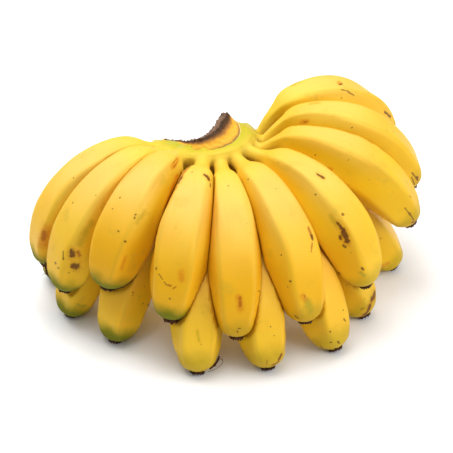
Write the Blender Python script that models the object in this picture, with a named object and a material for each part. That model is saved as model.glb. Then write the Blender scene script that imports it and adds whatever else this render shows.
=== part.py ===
"""A hand of small dessert bananas, cut from its stalk and standing on the tips of its lower fingers.

Metres, +Z up. +X is the right of the hand as it is seen from the front, and +Y points away from the
front. The origin is the middle of the hand's outline, at the height of the table.

The crown is the pad of green flesh that wrapped round the stalk. Every finger grows out of it on a
short neck, in an upper and a lower row. The first stretch of each neck belongs to the crown, and the
rest of the finger is a solid of its own, with the stub of the dried flower at its end.
"""

import math

import bmesh
import bpy
import numpy as np
from mathutils import Vector

# The fingers' tips are given in the frame of the layout, where the stalk's axis crosses the upper
# row at STALK_CENTRE. LAYOUT_SHIFT moves the layout onto the hand's own origin
STALK_CENTRE = Vector((-0.0140, 0.0365, 0.1040))
LAYOUT_SHIFT = Vector((-0.0012, -0.0047, -0.0062))
TABLE_HEIGHT = 0.0

# How far apart two pieces that touch are kept
GAP = 0.0003

# A finger's middle line starts this far from the stalk's axis, and its neck belongs to the crown up
# to this distance along it
ROOT_RADIUS = 0.024
NECK_IN_CROWN = 0.014

# A finger's radius along its length, as shares of its length and of its largest radius
THICKNESS = (
    (0.000, 0.34),
    (0.060, 0.28),
    (0.105, 0.30),
    (0.165, 0.50),
    (0.250, 0.67),
    (0.340, 0.79),
    (0.430, 0.89),
    (0.530, 0.97),
    (0.630, 1.00),
    (0.720, 0.975),
    (0.800, 0.90),
    (0.870, 0.78),
    (0.920, 0.64),
    (0.952, 0.46),
    (0.968, 0.30),
    (1.000, 0.24),
)
THINNEST_AT = 0.06

# The five-sided cross-section: a higher power gives sharper ridges
RIDGES = 5
RIDGE_POWER = 5.5

# A long neck hangs a little below the smooth curve of the finger
NECK_SAG = 0.045
NECK_SAG_AT = 0.13
NECK_SAG_SPREAD = 0.06

CURVE_SAMPLES = 400
LINE_POINTS = 49
HALVINGS = 14

# The rings of points that the skin is drawn through, at shares of the finger's length
SIDES = 15
RINGS_AT = (0.13, 0.16, 0.20, 0.25, 0.31, 0.38, 0.45, 0.52, 0.59, 0.66)
RINGS_AT += (0.73, 0.79, 0.84, 0.88, 0.915, 0.945, 0.968, 1.0)
FIRST_RING_ROOM = 0.003
SHARP_ANGLE = math.radians(50)

# The rings of the neck in the crown, in metres, and how deep it runs into its neighbours there
NECK_RINGS_AT = (0.0, 0.005, 0.0095)
NECK_OVERLAPS = (0.003, 0.001, 0.0)

# One row per finger: degrees round the stalk, height on the crown, tip, direction on leaving the
# crown and at the tip (degrees sideways from the straight line between them, degrees up), how full
# the bend is, largest radius, and how much longer than usual the neck is
FINGERS = {
    "finger_upper_01": (-150, -0.005, (-0.117, -0.015, 0.035), (0, 22), (4, -80), 0.43, 0.0165, 0.0),
    "finger_upper_02": (-134, -0.004, (-0.103, -0.040, 0.032), (0, 22), (0, -77), 0.42, 0.0168, 0.0),
    "finger_upper_03": (-113, -0.001, (-0.074, -0.057, 0.047), (4, 18), (-2, -72), 0.38, 0.0178, 0.0),
    "finger_upper_04": (-89, 0.000, (-0.034, -0.077, 0.038), (9, 8), (-6, -75), 0.37, 0.0178, 0.0),
    "finger_upper_05": (-73, 0.000, (0.006, -0.083, 0.029), (6, 0), (-8, -75), 0.37, 0.0170, 0.0),
    "finger_upper_06": (-60, 0.000, (0.049, -0.072, 0.032), (6, 2), (-6, -75), 0.37, 0.0172, 0.0),
    "finger_upper_07": (-44, 0.000, (0.088, -0.043, 0.038), (3, 10), (-3, -75), 0.37, 0.0172, 0.03),
    "finger_upper_08": (-29, -0.005, (0.121, 0.002, 0.054), (0, 30), (0, -62), 0.38, 0.0170, 0.12),
    "finger_upper_09": (-10, -0.006, (0.124, 0.037, 0.060), (-4, 43), (0, -70), 0.41, 0.0168, 0.18),
    "finger_upper_10": (12, -0.010, (0.110, 0.092, 0.061), (-14, 54), (5, -70), 0.43, 0.0172, 0.22),
    "finger_lower_01": (-166, -0.017, (-0.115, 0.008, 0.0063), (0, -15), (0, -75), 0.37, 0.0160, 0.0),
    "finger_lower_02": (-146, -0.017, (-0.102, -0.032, 0.0065), (0, -15), (0, -70), 0.37, 0.0155, 0.0),
    "finger_lower_03": (-124, -0.014, (-0.071, -0.058, 0.0065), (0, -15), (0, -70), 0.37, 0.0160, 0.0),
    "finger_lower_04": (-96, -0.013, (-0.018, -0.089, 0.0070), (0, -15), (0, -65), 0.37, 0.0170, 0.0),
    "finger_lower_05": (-74, -0.013, (0.026, -0.085, 0.0070), (0, -15), (0, -65), 0.37, 0.0170, 0.0),
    "finger_lower_06": (-56, -0.013, (0.069, -0.067, 0.0073), (0, -15), (0, -60), 0.37, 0.0170, 0.0),
    "finger_lower_07": (-39, -0.013, (0.090, -0.033, 0.0072), (0, -15), (0, -60), 0.37, 0.0165, 0.0),
    "finger_lower_08": (-18, -0.014, (0.114, 0.020, 0.0072), (0, -15), (0, -60), 0.37, 0.0165, 0.0),
    "finger_lower_09": (4, -0.015, (0.098, 0.055, 0.0068), (0, -15), (0, -65), 0.37, 0.0160, 0.0),
    "finger_lower_10": (26, -0.016, (0.075, 0.095, 0.0068), (0, -15), (0, -65), 0.37, 0.0160, 0.0),
}

# The crown's cross-section at angles round the stalk, in millimetres from the stalk's axis and
# above the upper row: the outside below and above the fingers, the lower edge of the slanted cut,
# its upper ridge, the back of the ridge, the stalk's side above and below, and the underside
CROWN_SECTIONS = {
    -172: ((33, -15), (34, -6), (31.5, -1), (30.5, 0), (29, -0.5), (26, -7), (26, -16), (30, -19)),
    -150: ((34, -17), (34, -7), (22, 0), (19.5, 0.5), (18.5, 0), (16.5, -7), (17, -18), (25, -21)),
    -123: ((34, -18), (34, -5), (23.4, 1.6), (20.4, 3.8), (19, 3.4), (15.5, -4), (16, -19), (25, -23)),
    -98: ((34, -18), (34, -4), (28, 3), (21.7, 8.3), (19.5, 8), (14.5, -2), (15, -20), (25, -24)),
    -68: ((34, -18), (34, -3), (29.6, 5.4), (18.8, 12), (14, 12), (12, 1), (14, -20), (25, -24)),
    -40: ((33.5, -17), (33, -3), (27.6, 7.3), (14.4, 13), (9.8, 13), (10.5, 2), (14, -20), (24, -24)),
    -18: ((32, -17), (31, -4), (23.5, 8), (14, 13.5), (9.8, 14), (11, 2), (15, -19), (24, -23)),
    6: ((30, -17), (29, -5), (19.3, 8.3), (15.2, 14), (12, 14.3), (12.5, 3), (16, -18), (23, -21)),
    28: ((29, -17), (29, -6), (23, -0.5), (19.5, 1), (17, 0), (16, -6), (18, -16), (23, -20)),
    44: ((27, -15), (27, -8), (24, -4), (22, -3.5), (20, -4), (19, -8), (20, -14), (23, -17)),
}
MILLIMETRE = 0.001
CROWN_STEPS = 44
POINTS_PER_CORNER = 2

RIPE_PEEL = (0.80, 0.52, 0.06)
GREEN_SKIN = (0.56, 0.55, 0.13)


def round_the_stalk(degrees, distance, height):
    """The point at that angle round the stalk, that far from its axis and above the upper row."""
    angle = math.radians(degrees)
    offset = Vector((distance * math.cos(angle), distance * math.sin(angle), height))
    return STALK_CENTRE + LAYOUT_SHIFT + offset


def heading(azimuth, elevation):
    """The unit vector with that compass angle and that angle above the horizon, in radians."""
    level = math.cos(elevation)
    return Vector((math.cos(azimuth) * level, math.sin(azimuth) * level, math.sin(elevation)))


def smooth_through(x, points):
    """A smooth curve through the points (a cubic with Catmull-Rom slopes), read at x."""
    px, py = np.array(points, float).T
    slope = np.gradient(py, px)
    i = np.clip(np.searchsorted(px, x, side="right") - 1, 0, len(px) - 2)
    h = px[i + 1] - px[i]
    u = np.clip((x - px[i]) / h, 0, 1)
    from_start = (1 + 2 * u) * (1 - u) ** 2 * py[i] + u * (1 - u) ** 2 * h * slope[i]
    from_end = u**2 * (3 - 2 * u) * py[i + 1] + u**2 * (u - 1) * h * slope[i + 1]
    return from_start + from_end


def section(angles):
    """A softened five-sided outline, about 1 in radius, with a flat side at angle 0."""
    sides = np.arange(RIDGES) * 2 * math.pi / RIDGES
    facing = np.clip(np.cos(angles[:, None] - sides), 0, None) ** RIDGE_POWER
    outline = facing.sum(axis=1) ** (-1 / RIDGE_POWER)
    return outline / outline.mean()


def unit(vectors):
    return vectors / np.linalg.norm(vectors, axis=-1, keepdims=True)


def interpolate(x, places, rows):
    """Rows of vectors given at places, read at x."""
    return np.stack([np.interp(x, places, column) for column in rows.T], axis=1)


class Finger:
    """One banana: its middle line, the directions across it and its radius, along its length."""

    def __init__(self, name, place, height, tip, leave, arrive, bend, radius, neck):
        self.name = name
        self.radius = radius
        self.neck = neck
        root = round_the_stalk(place, ROOT_RADIUS, height)
        end = Vector(tip) + LAYOUT_SHIFT
        across = end - root
        azimuth = math.atan2(across.y, across.x)
        leaving = heading(azimuth + math.radians(leave[0]), math.radians(leave[1]))
        arriving = heading(azimuth + math.radians(arrive[0]), math.radians(arrive[1]))
        handle = bend * across.length
        corners = np.array([root, root + handle * leaving, end - handle * arriving, end])
        self.places = np.linspace(0, 1, LINE_POINTS)
        self.line, self.length = self.middle_line(corners)
        self.radii = self.thickness(self.places)
        along = unit(np.gradient(self.line, axis=0))
        level = unit(np.array([across.y, -across.x, 0.0]))
        self.out = unit(np.cross(level, along))
        self.side = np.cross(along, self.out)

    def middle_line(self, corners):
        """Points at equal steps along a cubic Bezier curve with the neck's sag, and its length."""
        t = np.linspace(0, 1, CURVE_SAMPLES)[:, None]
        curve = np.hstack([(1 - t) ** 3, 3 * t * (1 - t) ** 2, 3 * t**2 * (1 - t), t**3]) @ corners
        curve[:, 2:] -= self.neck * NECK_SAG * np.exp(-(((t - NECK_SAG_AT) / NECK_SAG_SPREAD) ** 2))
        run = np.concatenate([[0], np.cumsum(np.linalg.norm(np.diff(curve, axis=0), axis=1))])
        return interpolate(self.places * run[-1], run, curve), run[-1]

    def thickness(self, share):
        """The radius at shares of the length. A long neck stays thin for longer."""
        thinnest = THINNEST_AT if self.neck else 0
        read = np.clip(share - self.neck * (1 - share) ** 3, thinnest, 1)
        return self.radius * smooth_through(read, THICKNESS)

    def rings(self, share):
        """Rings round the middle line: the centre, the direction and the distance of each point."""
        angles = (np.arange(SIDES) + 0.5) * 2 * math.pi / SIDES
        centre = interpolate(share, self.places, self.line)[:, None, :]
        out = interpolate(share, self.places, self.out)[:, None, :]
        side = interpolate(share, self.places, self.side)[:, None, :]
        way = np.cos(angles)[None, :, None] * out + np.sin(angles)[None, :, None] * side
        return np.repeat(centre, SIDES, axis=1), way, self.thickness(share)[:, None] * section(angles)

    def outside(self, points):
        """How far points are outside the finger's round skin; it is negative inside."""
        apart = np.linalg.norm(points[:, None, :] - self.line, axis=2)
        return (apart - self.radii).min(axis=1)


def pressed_rings(finger, others, share, gaps):
    """The finger's rings as points, cut back where a neighbour presses against it.

    Two bananas that touch share a border where their round skins are equally far away, and each
    keeps clear of it by the gap. A gap below zero lets the two run into each other.
    """
    centre, way, reach = finger.rings(share)
    shape = way.shape
    gap = np.repeat(gaps, SIDES)
    centre, way, reach = centre.reshape(-1, 3), way.reshape(-1, 3), reach.reshape(-1)
    for other in others:

        def room(part):
            points = centre + way * (reach * part)[:, None]
            return other.outside(points) - finger.outside(points) - gap

        fits = room(np.ones(len(reach))) >= 0
        if fits.all():
            continue
        low, high = np.zeros(len(reach)), np.ones(len(reach))
        for _ in range(HALVINGS):
            middle = 0.5 * (low + high)
            inside = room(middle) >= 0
            low = np.where(inside, middle, low)
            high = np.where(inside, high, middle)
        reach = reach * np.where(fits, 1.0, low)
    return (centre + way * reach[:, None]).reshape(shape)


def object_from(mesh, name):
    data = bpy.data.meshes.new(name)
    mesh.to_mesh(data)
    mesh.free()
    return bpy.data.objects.new(name, data)


def loft(name, rings):
    """An object whose closed mesh runs through rings of points and is capped at both ends."""
    mesh = bmesh.new()
    loops = [[mesh.verts.new(point) for point in ring] for ring in rings]
    edges = [[mesh.edges.new(pair) for pair in zip(loop, loop[1:] + loop[:1])] for loop in loops]
    for before, after in zip(edges, edges[1:]):
        bmesh.ops.bridge_loops(mesh, edges=before + after)
    for loop in (loops[0], loops[-1]):
        mesh.faces.new(loop)
    bmesh.ops.recalc_face_normals(mesh, faces=mesh.faces)
    return object_from(mesh, name)


def finish(made, collection, skin):
    made.data.materials.clear()
    made.data.materials.append(skin)
    made.data.shade_smooth()
    made.data.set_sharp_from_angle(angle=SHARP_ANGLE)
    collection.objects.link(made)


def finger_object(finger, others):
    """The finger beyond the stretch of its neck that belongs to the crown."""
    start = NECK_IN_CROWN + 0.5 * GAP
    rings_at = [s for s in RINGS_AT if s * finger.length > start + FIRST_RING_ROOM]
    share = np.array([start / finger.length] + rings_at)
    return loft(finger.name, pressed_rings(finger, others, share, np.full(len(share), GAP)))


def neck_object(finger, others):
    """The first stretch of a finger's neck. Near the crown it runs into its neighbours."""
    run = np.array(NECK_RINGS_AT + (NECK_IN_CROWN - 0.5 * GAP,))
    gaps = np.array([-overlap for overlap in NECK_OVERLAPS] + [GAP])
    return loft(finger.name + "_neck", pressed_rings(finger, others, run / finger.length, gaps))


def flatten_foot(made):
    """Cuts off what reaches below the table, so that the tip stands on a small flat."""
    mesh = bmesh.new()
    mesh.from_mesh(made.data)
    table = Vector((0, 0, TABLE_HEIGHT))
    everything = mesh.verts[:] + mesh.edges[:] + mesh.faces[:]
    cut = bmesh.ops.bisect_plane(
        mesh, geom=everything, dist=1e-6, plane_co=table, plane_no=(0, 0, -1), clear_outer=True
    )
    rim = [item for item in cut["geom_cut"] if isinstance(item, bmesh.types.BMEdge)]
    flat = bmesh.ops.contextual_create(mesh, geom=rim)["faces"][0]
    bmesh.ops.recalc_face_normals(mesh, faces=mesh.faces)
    foot = flat.calc_center_median()
    print(f"{made.name} stands on {flat.calc_area() * 1e6:.1f} mm2 at {foot.x:.5f}, {foot.y:.5f}")
    mesh.to_mesh(made.data)
    mesh.free()


def crown_pad():
    """The pad of flesh that wrapped round the stalk, with the slanted cut along its top."""
    angles = np.array(list(CROWN_SECTIONS), float)
    corners = np.array(list(CROWN_SECTIONS.values()), float) * MILLIMETRE
    count = corners.shape[1]
    around = (np.arange(count * POINTS_PER_CORNER) / POINTS_PER_CORNER) + 2
    rings = []
    for angle in np.linspace(angles[0], angles[-1], CROWN_STEPS):
        profile = []
        for values in corners.transpose(2, 1, 0):
            here = [float(smooth_through(angle, list(zip(angles, column)))) for column in values]
            wrapped = here[-2:] + here + here[:3]
            profile.append(smooth_through(around, list(enumerate(wrapped))))
        rings.append([round_the_stalk(angle, *point) for point in zip(*profile)])
    return loft("crown", rings)


def join(made, collection):
    """Joins the objects of a collection to the object, and removes them."""
    union = made.modifiers.new("join", "BOOLEAN")
    union.operation = "UNION"
    union.operand_type = "COLLECTION"
    union.solver = "EXACT"
    union.collection = collection
    bpy.context.scene.collection.objects.link(made)
    graph = bpy.context.evaluated_depsgraph_get()
    joined = bpy.data.meshes.new_from_object(made.evaluated_get(graph))
    made.modifiers.clear()
    made.data = joined
    bpy.context.scene.collection.objects.unlink(made)
    for cutter in list(collection.objects):
        bpy.data.objects.remove(cutter)


def material(name, colour, roughness):
    made = bpy.data.materials.new(name)
    made.use_nodes = True
    shader = made.node_tree.nodes["Principled BSDF"]
    shader.inputs["Base Color"].default_value = (*colour, 1)
    shader.inputs["Roughness"].default_value = roughness
    shader.inputs["Metallic"].default_value = 0.0
    made.diffuse_color = (*colour, 1)
    return made


def new_collection(name):
    made = bpy.data.collections.new(name)
    bpy.context.scene.collection.children.link(made)
    return made


def main():
    for old in list(bpy.data.objects):
        bpy.data.objects.remove(old)
    hand = new_collection("banana_hand")
    necks = new_collection("banana_hand_necks")
    necks.hide_render = True
    peel = material("ripe_peel", RIPE_PEEL, 0.45)
    skin = material("crown_skin", GREEN_SKIN, 0.55)

    fingers = [Finger(name, *row) for name, row in FINGERS.items()]
    for finger in fingers:
        others = [other for other in fingers if other is not finger]
        necks.objects.link(neck_object(finger, others))
        made = finger_object(finger, others)
        if "lower" in finger.name:
            flatten_foot(made)
        finish(made, hand, peel)

    crown = crown_pad()
    join(crown, necks)
    finish(crown, hand, skin)


main()
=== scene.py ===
# %% [markdown]
# # A hand of lady-finger bananas
#
# This lesson dresses a imported model of a hand of small ripe bananas. Twenty fruits still grow from one
# pad of green flesh, the crown, which was cut from the plant's stalk. The imported solids give every
# piece its place and its size. What is made here is what the eye reads: the soft five-sided skin of
# each fruit, the way neighbours press each other flat, the necks that melt into the crown, the dried
# flower at each tip, and a peel with green ends, bruises and specks.
#
# The first step loads the imported model and bakes each solid's place into its mesh.

# %% Load the imported model
import math

import bpy
import numpy as np
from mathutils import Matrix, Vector


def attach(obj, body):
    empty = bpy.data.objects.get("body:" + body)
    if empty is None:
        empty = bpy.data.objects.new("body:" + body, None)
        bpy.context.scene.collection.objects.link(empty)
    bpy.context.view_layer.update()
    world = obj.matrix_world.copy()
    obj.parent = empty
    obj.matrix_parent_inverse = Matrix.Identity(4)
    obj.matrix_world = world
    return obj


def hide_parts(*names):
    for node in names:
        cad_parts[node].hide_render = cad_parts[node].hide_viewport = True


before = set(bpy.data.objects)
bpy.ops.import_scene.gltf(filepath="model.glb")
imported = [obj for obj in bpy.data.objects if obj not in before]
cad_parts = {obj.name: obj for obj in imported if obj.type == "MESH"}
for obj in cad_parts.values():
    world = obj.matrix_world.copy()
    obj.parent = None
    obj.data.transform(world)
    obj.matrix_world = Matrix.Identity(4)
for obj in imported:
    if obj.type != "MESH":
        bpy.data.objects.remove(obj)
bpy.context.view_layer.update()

# %% [markdown]
# ## Camera, table and light
#
# The photograph looks down on the hand at about 35 degrees, from straight in front and from nearly a
# metre away, so a long lens fits. The table is a plain white sheet. The light in a fruit photograph is
# large and soft, and comes from above: it lights the upper facets, leaves the flanks deep yellow, and
# lets the white table fill the rest. Two weaker boxes, one at each side, open up the shadows. The
# picture is shown with the Standard view, because a filmic one would grey the table and dull the yellow.

# %% Camera
VIEW_TARGET = Vector((-0.0012, -0.0047, 0.0488))
VIEW_ELEVATION = math.radians(35)
VIEW_DISTANCE = 0.9
LENS_MM = 110

camera_data = bpy.data.cameras.new("camera")
camera_data.lens = LENS_MM
camera = bpy.data.objects.new("camera", camera_data)
backwards = Vector((0, -math.cos(VIEW_ELEVATION), math.sin(VIEW_ELEVATION)))
camera.location = VIEW_TARGET + backwards * VIEW_DISTANCE
camera.rotation_euler = backwards.to_track_quat("Z", "Y").to_euler()
bpy.context.scene.collection.objects.link(camera)
bpy.context.scene.camera = camera
bpy.context.scene.view_settings.view_transform = "Standard"
print("camera at", [round(c, 3) for c in camera.location])

# %% Table
TABLE_HALF = 3.0
TABLE_COLOUR = (0.90, 0.90, 0.90, 1)
TABLE_ROUGHNESS = 0.7

table_mesh = bpy.data.meshes.new("table")
sheet_corners = [(x * TABLE_HALF, y * TABLE_HALF, 0) for x, y in ((-1, -1), (1, -1), (1, 1), (-1, 1))]
table_mesh.from_pydata(sheet_corners, [], [(0, 1, 2, 3)])
table = bpy.data.objects.new("table", table_mesh)
bpy.context.scene.collection.objects.link(table)
table_white = bpy.data.materials.new("table_white")
table_white.use_nodes = True
table_shader = table_white.node_tree.nodes["Principled BSDF"]
table_shader.inputs["Base Color"].default_value = TABLE_COLOUR
table_shader.inputs["Roughness"].default_value = TABLE_ROUGHNESS
table_mesh.materials.append(table_white)

# %% Light
SKY_ABOVE = 0.96
SKY_BESIDE = 0.06
SKY_STARTS_AT = 0.10
SOFT_BOXES = {
    "overhead_soft_box": ((-0.20, 0.22, 1.15), 0.9, 10.6),
    "right_fill": ((0.95, -0.40, 0.55), 0.8, 6.7),
    "left_soft_box": ((-0.95, 0.70, 0.75), 0.9, 5.2),
}

world = bpy.data.worlds.new("studio")
world.use_nodes = True
sky = world.node_tree
direction = sky.nodes.new("ShaderNodeTexCoord")
upward = sky.nodes.new("ShaderNodeSeparateXYZ")
gradient = sky.nodes.new("ShaderNodeMapRange")
gradient.interpolation_type = "SMOOTHSTEP"
for key, value in (("From Min", SKY_STARTS_AT), ("To Min", SKY_BESIDE), ("To Max", SKY_ABOVE)):
    gradient.inputs[key].default_value = value
sky.links.new(direction.outputs["Generated"], upward.inputs[0])
sky.links.new(upward.outputs["Z"], gradient.inputs["Value"])
sky.links.new(gradient.outputs["Result"], sky.nodes["Background"].inputs["Strength"])
sky.nodes["Background"].inputs["Color"].default_value = (1, 1, 1, 1)
bpy.context.scene.world = world

for name, (place, size, power) in SOFT_BOXES.items():
    lamp = bpy.data.lights.new(name, "AREA")
    lamp.size, lamp.energy = size, power
    box = bpy.data.objects.new(name, lamp)
    box.location = place
    box.rotation_euler = (box.location - VIEW_TARGET).to_track_quat("Z", "Y").to_euler()
    bpy.context.scene.collection.objects.link(box)

# %% [markdown]
# ## The plan of the hand
#
# The hand is laid out as the solids are. Every finger starts on a ring round the stalk, arches out
# and ends at its tip, so one row of numbers places it: the angle and height where it leaves the
# crown, its tip, the directions in which it leaves and arrives, how full the bend is, its largest
# radius, and how much longer than usual its neck is. Lower fingers all leave and bend alike, so their
# rows are shorter. The same numbers gave the solids their shape, so the new skins lie where they are.

# %% The rows of fingers
STALK_CENTRE = np.array((-0.0152, 0.0318, 0.0978))
LAYOUT_SHIFT = np.array((-0.0012, -0.0047, -0.0062))
ROOT_RADIUS = 0.024

MILLIMETRE = 0.001

UPPER_ROW = (
    (-150, -0.005, (-0.117, -0.015, 0.035), (0, 22), (4, -80), 0.43, 0.0165, 0.0),
    (-134, -0.004, (-0.103, -0.040, 0.032), (0, 22), (0, -77), 0.42, 0.0168, 0.0),
    (-113, -0.001, (-0.074, -0.057, 0.047), (4, 18), (-2, -72), 0.38, 0.0178, 0.0),
    (-89, 0.000, (-0.034, -0.077, 0.038), (9, 8), (-6, -75), 0.37, 0.0178, 0.0),
    (-73, 0.000, (0.006, -0.083, 0.029), (6, 0), (-8, -75), 0.37, 0.0170, 0.0),
    (-60, 0.000, (0.049, -0.072, 0.032), (6, 2), (-6, -75), 0.37, 0.0172, 0.0),
    (-44, 0.000, (0.088, -0.043, 0.038), (3, 10), (-3, -75), 0.37, 0.0172, 0.03),
    (-29, -0.005, (0.121, 0.002, 0.054), (0, 30), (0, -62), 0.38, 0.0170, 0.12),
    (-10, -0.006, (0.124, 0.037, 0.060), (-4, 43), (0, -70), 0.41, 0.0168, 0.18),
    (12, -0.010, (0.110, 0.092, 0.061), (-14, 54), (5, -70), 0.43, 0.0172, 0.22),
)
LOWER_ROW = (
    (-166, -0.017, (-0.115, 0.008, 0.0063), -75, 0.0160),
    (-146, -0.017, (-0.102, -0.032, 0.0065), -70, 0.0155),
    (-124, -0.014, (-0.071, -0.058, 0.0065), -70, 0.0160),
    (-96, -0.013, (-0.018, -0.089, 0.0070), -65, 0.0170),
    (-74, -0.013, (0.026, -0.085, 0.0070), -65, 0.0170),
    (-56, -0.013, (0.069, -0.067, 0.0073), -60, 0.0170),
    (-39, -0.013, (0.090, -0.033, 0.0072), -60, 0.0165),
    (-18, -0.014, (0.114, 0.020, 0.0072), -60, 0.0165),
    (4, -0.015, (0.098, 0.055, 0.0068), -65, 0.0160),
    (26, -0.016, (0.075, 0.095, 0.0068), -65, 0.0160),
)
LOWER_LEAVES, LOWER_BEND = (0, -15), 0.37


def named(row, *numbers):
    """The names of those fingers of the upper or the lower row."""
    return [f"finger_{row}_{number:02}" for number in numbers]


FINGERS = dict(zip(named("upper", *range(1, 11)), UPPER_ROW))
for name, (place, height, tip, falls, radius) in zip(named("lower", *range(1, 11)), LOWER_ROW):
    FINGERS[name] = (place, height, tip, LOWER_LEAVES, (0, falls), LOWER_BEND, radius, 0.0)
print("fingers:", len(FINGERS))

# %% [markdown]
# ## The middle line of a finger
#
# A banana is a tube round a bent line. A chain of straight pieces would look like a hose, and a
# circle's arc is too regular: a real finger leaves the crown almost straight, bends most at its
# shoulder and hangs at its tip. A cubic Bezier curve does that with two directions, one at each end.
# The line is read at equal steps of its length, so that a share of the length means the same on
# every finger.

# %% The middle line
CURVE_SAMPLES = 400
LINE_POINTS = 121
NECK_SAG = 0.045
NECK_SAG_AT = 0.13
NECK_SAG_SPREAD = 0.06


def unit(vectors):
    """Each vector divided by its length."""
    return vectors / np.linalg.norm(vectors, axis=-1, keepdims=True)


def heading(azimuth, elevation):
    """The unit vector with that compass angle and that angle above the horizon, in radians."""
    level = math.cos(elevation)
    return np.array((math.cos(azimuth) * level, math.sin(azimuth) * level, math.sin(elevation)))


def interpolate(x, places, rows):
    """Rows of vectors given at places, read at x, with straight lines between them."""
    flat = np.ravel(x)
    read = np.stack([np.interp(flat, places, column) for column in rows.T], axis=1)
    return read.reshape(*np.shape(x), rows.shape[1])


def distances(points, centres):
    """The distance of every point to every centre, as a table: the root of p.p + c.c - 2 p.c."""
    squares = (points**2).sum(axis=1)[:, None] + (centres**2).sum(axis=1) - 2 * points @ centres.T
    return np.sqrt(np.maximum(squares, 0))


class MiddleLine:
    """The bent line that a finger is built round, with the two directions across it.

    The line is (1-t)^3 root + 3t(1-t)^2 first handle + 3t^2(1-t) second handle + t^3 tip, for t from
    0 to 1, lowered by a bell curve near the neck. `out` points away from the hand's inside and `side`
    is square to it and to the line.
    """

    def __init__(self, place, height, tip, leave, arrive, bend, neck):
        angle = math.radians(place)
        root_offset = (ROOT_RADIUS * math.cos(angle), ROOT_RADIUS * math.sin(angle), height)
        root = STALK_CENTRE + np.array(root_offset)
        end = np.array(tip) + LAYOUT_SHIFT
        across = end - root
        azimuth = math.atan2(across[1], across[0])
        handle = bend * np.linalg.norm(across)
        leaving = heading(azimuth + math.radians(leave[0]), math.radians(leave[1]))
        arriving = heading(azimuth + math.radians(arrive[0]), math.radians(arrive[1]))
        corners = np.array((root, root + handle * leaving, end - handle * arriving, end))
        t = np.linspace(0, 1, CURVE_SAMPLES)[:, None]
        weights = np.hstack([(1 - t) ** 3, 3 * t * (1 - t) ** 2, 3 * t**2 * (1 - t), t**3])
        curve = weights @ corners
        curve[:, 2:] -= neck * NECK_SAG * np.exp(-(((t - NECK_SAG_AT) / NECK_SAG_SPREAD) ** 2))
        steps = np.linalg.norm(np.diff(curve, axis=0), axis=1)
        run = np.concatenate([[0], np.cumsum(steps)])
        self.length = run[-1]
        self.share = np.linspace(0, 1, LINE_POINTS)
        self.points = interpolate(self.share * self.length, run, curve)
        along = unit(np.gradient(self.points, axis=0))
        self.out = unit(np.cross(unit(np.array((across[1], -across[0], 0.0))), along))
        self.side = np.cross(along, self.out)


# %% [markdown]
# ## The thickness and the five soft edges
#
# A lady-finger banana is slim at its neck, swells quickly at the shoulder, is fullest two thirds of
# the way down, and rounds off bluntly at the tip. Its skin grew from a five-sided flower, so its
# cross-section has five soft edges, which fade at both ends. The edges matter in the picture: they
# part the pale upper facet from the deep yellow flanks.

# %% The thickness
THICKNESS = (
    (0.000, 0.27), (0.060, 0.265), (0.120, 0.28), (0.148, 0.34), (0.178, 0.49),
    (0.215, 0.62), (0.265, 0.71), (0.340, 0.80), (0.430, 0.89), (0.530, 0.97),
    (0.630, 1.00), (0.720, 0.975), (0.800, 0.90), (0.870, 0.78), (0.915, 0.66),
    (0.945, 0.53), (0.964, 0.40), (0.980, 0.24), (1.000, 0.20),
)
SKIN_ENDS_AT = 0.980
FOOT_ENDS_AT = 0.991
THINNEST_AT = 0.06
EDGES = 5
EDGE_POWER = 16.0


def between(u, start, end, leaving, arriving):
    """The cubic that runs from start to end with those slopes, read at u from 0 to 1."""
    from_start = (1 + 2 * u) * (1 - u) ** 2 * start + u * (1 - u) ** 2 * leaving
    return from_start + u**2 * (3 - 2 * u) * end + u**2 * (u - 1) * arriving


def smooth_through(x, points):
    """A smooth curve through the points (a cubic with Catmull-Rom slopes), read at x."""
    px, py = np.array(points, float).T
    slope = np.gradient(py, px)
    i = np.clip(np.searchsorted(px, x, side="right") - 1, 0, len(px) - 2)
    h = px[i + 1] - px[i]
    u = np.clip((x - px[i]) / h, 0, 1)
    return between(u, py[i], py[i + 1], h * slope[i], h * slope[i + 1])


def step(x, start, end):
    """0 before start, 1 after end, and the curve 3u^2 - 2u^3 between them."""
    u = np.clip((x - start) / (end - start), 0, 1)
    return u * u * (3 - 2 * u)


def five_sides(around):
    """A softened five-sided outline with a flat side at angle 0.

    Each side pushes with the cosine of the angle to it, raised to a power; the outline is their sum
    raised to minus one over that power. A higher power gives sharper edges.
    """
    sides = np.arange(EDGES) * 2 * math.pi / EDGES
    facing = np.clip(np.cos(around[..., None] - sides), 0, None) ** EDGE_POWER
    return facing.sum(axis=-1) ** (-1 / EDGE_POWER)


MEAN_OUTLINE = five_sides(np.linspace(0, 2 * math.pi, 720, endpoint=False)).mean()


def edge_nearness(around):
    """1 on each of the five edges, falling to 0 in the middle of each side."""
    return 0.5 - 0.5 * np.cos(EDGES * around)


# %% [markdown]
# ## The skin of a finger
#
# The skin is a surface of two parameters, the share of the length and the angle round the line. A
# plain formula would make twenty twins, so each finger adds its own slow waves: the edges wander a
# few degrees and the sides swell and dent by a fraction of a millimetre. In the photograph the front
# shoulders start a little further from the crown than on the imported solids, and the tips are blunter,
# so the thickness is read from a slightly earlier share there.
#
# Neighbours that touch press each other flat. The border between two of them is where their round
# skins are equally far away. Every point beyond it slides back towards its own middle line until it
# is on its own side, which a few halvings find for all points at once.

# %% One finger
BLUNT_FOOT, BLUNT_TIP = 0.024, 0.010
BLUNT_FROM, BLUNT_UNTIL = (0.78, 0.90), 0.94
LATE_SHOULDERS = {4: 0.030, 5: 0.030, 6: 0.028, 7: 0.036, 8: 0.016, 9: 0.008}
LATE_FROM, LATE_UNTIL = (0.08, 0.17), (0.22, 0.45)
EDGED_FROM, EDGED_UNTIL = (0.15, 0.27), (0.88, 0.97)
GAP = 0.00025
HALVINGS = 16
CLOSE = 0.004
WANDER = 0.08
SWELLING = 0.009
SWELLINGS = 5


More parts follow.
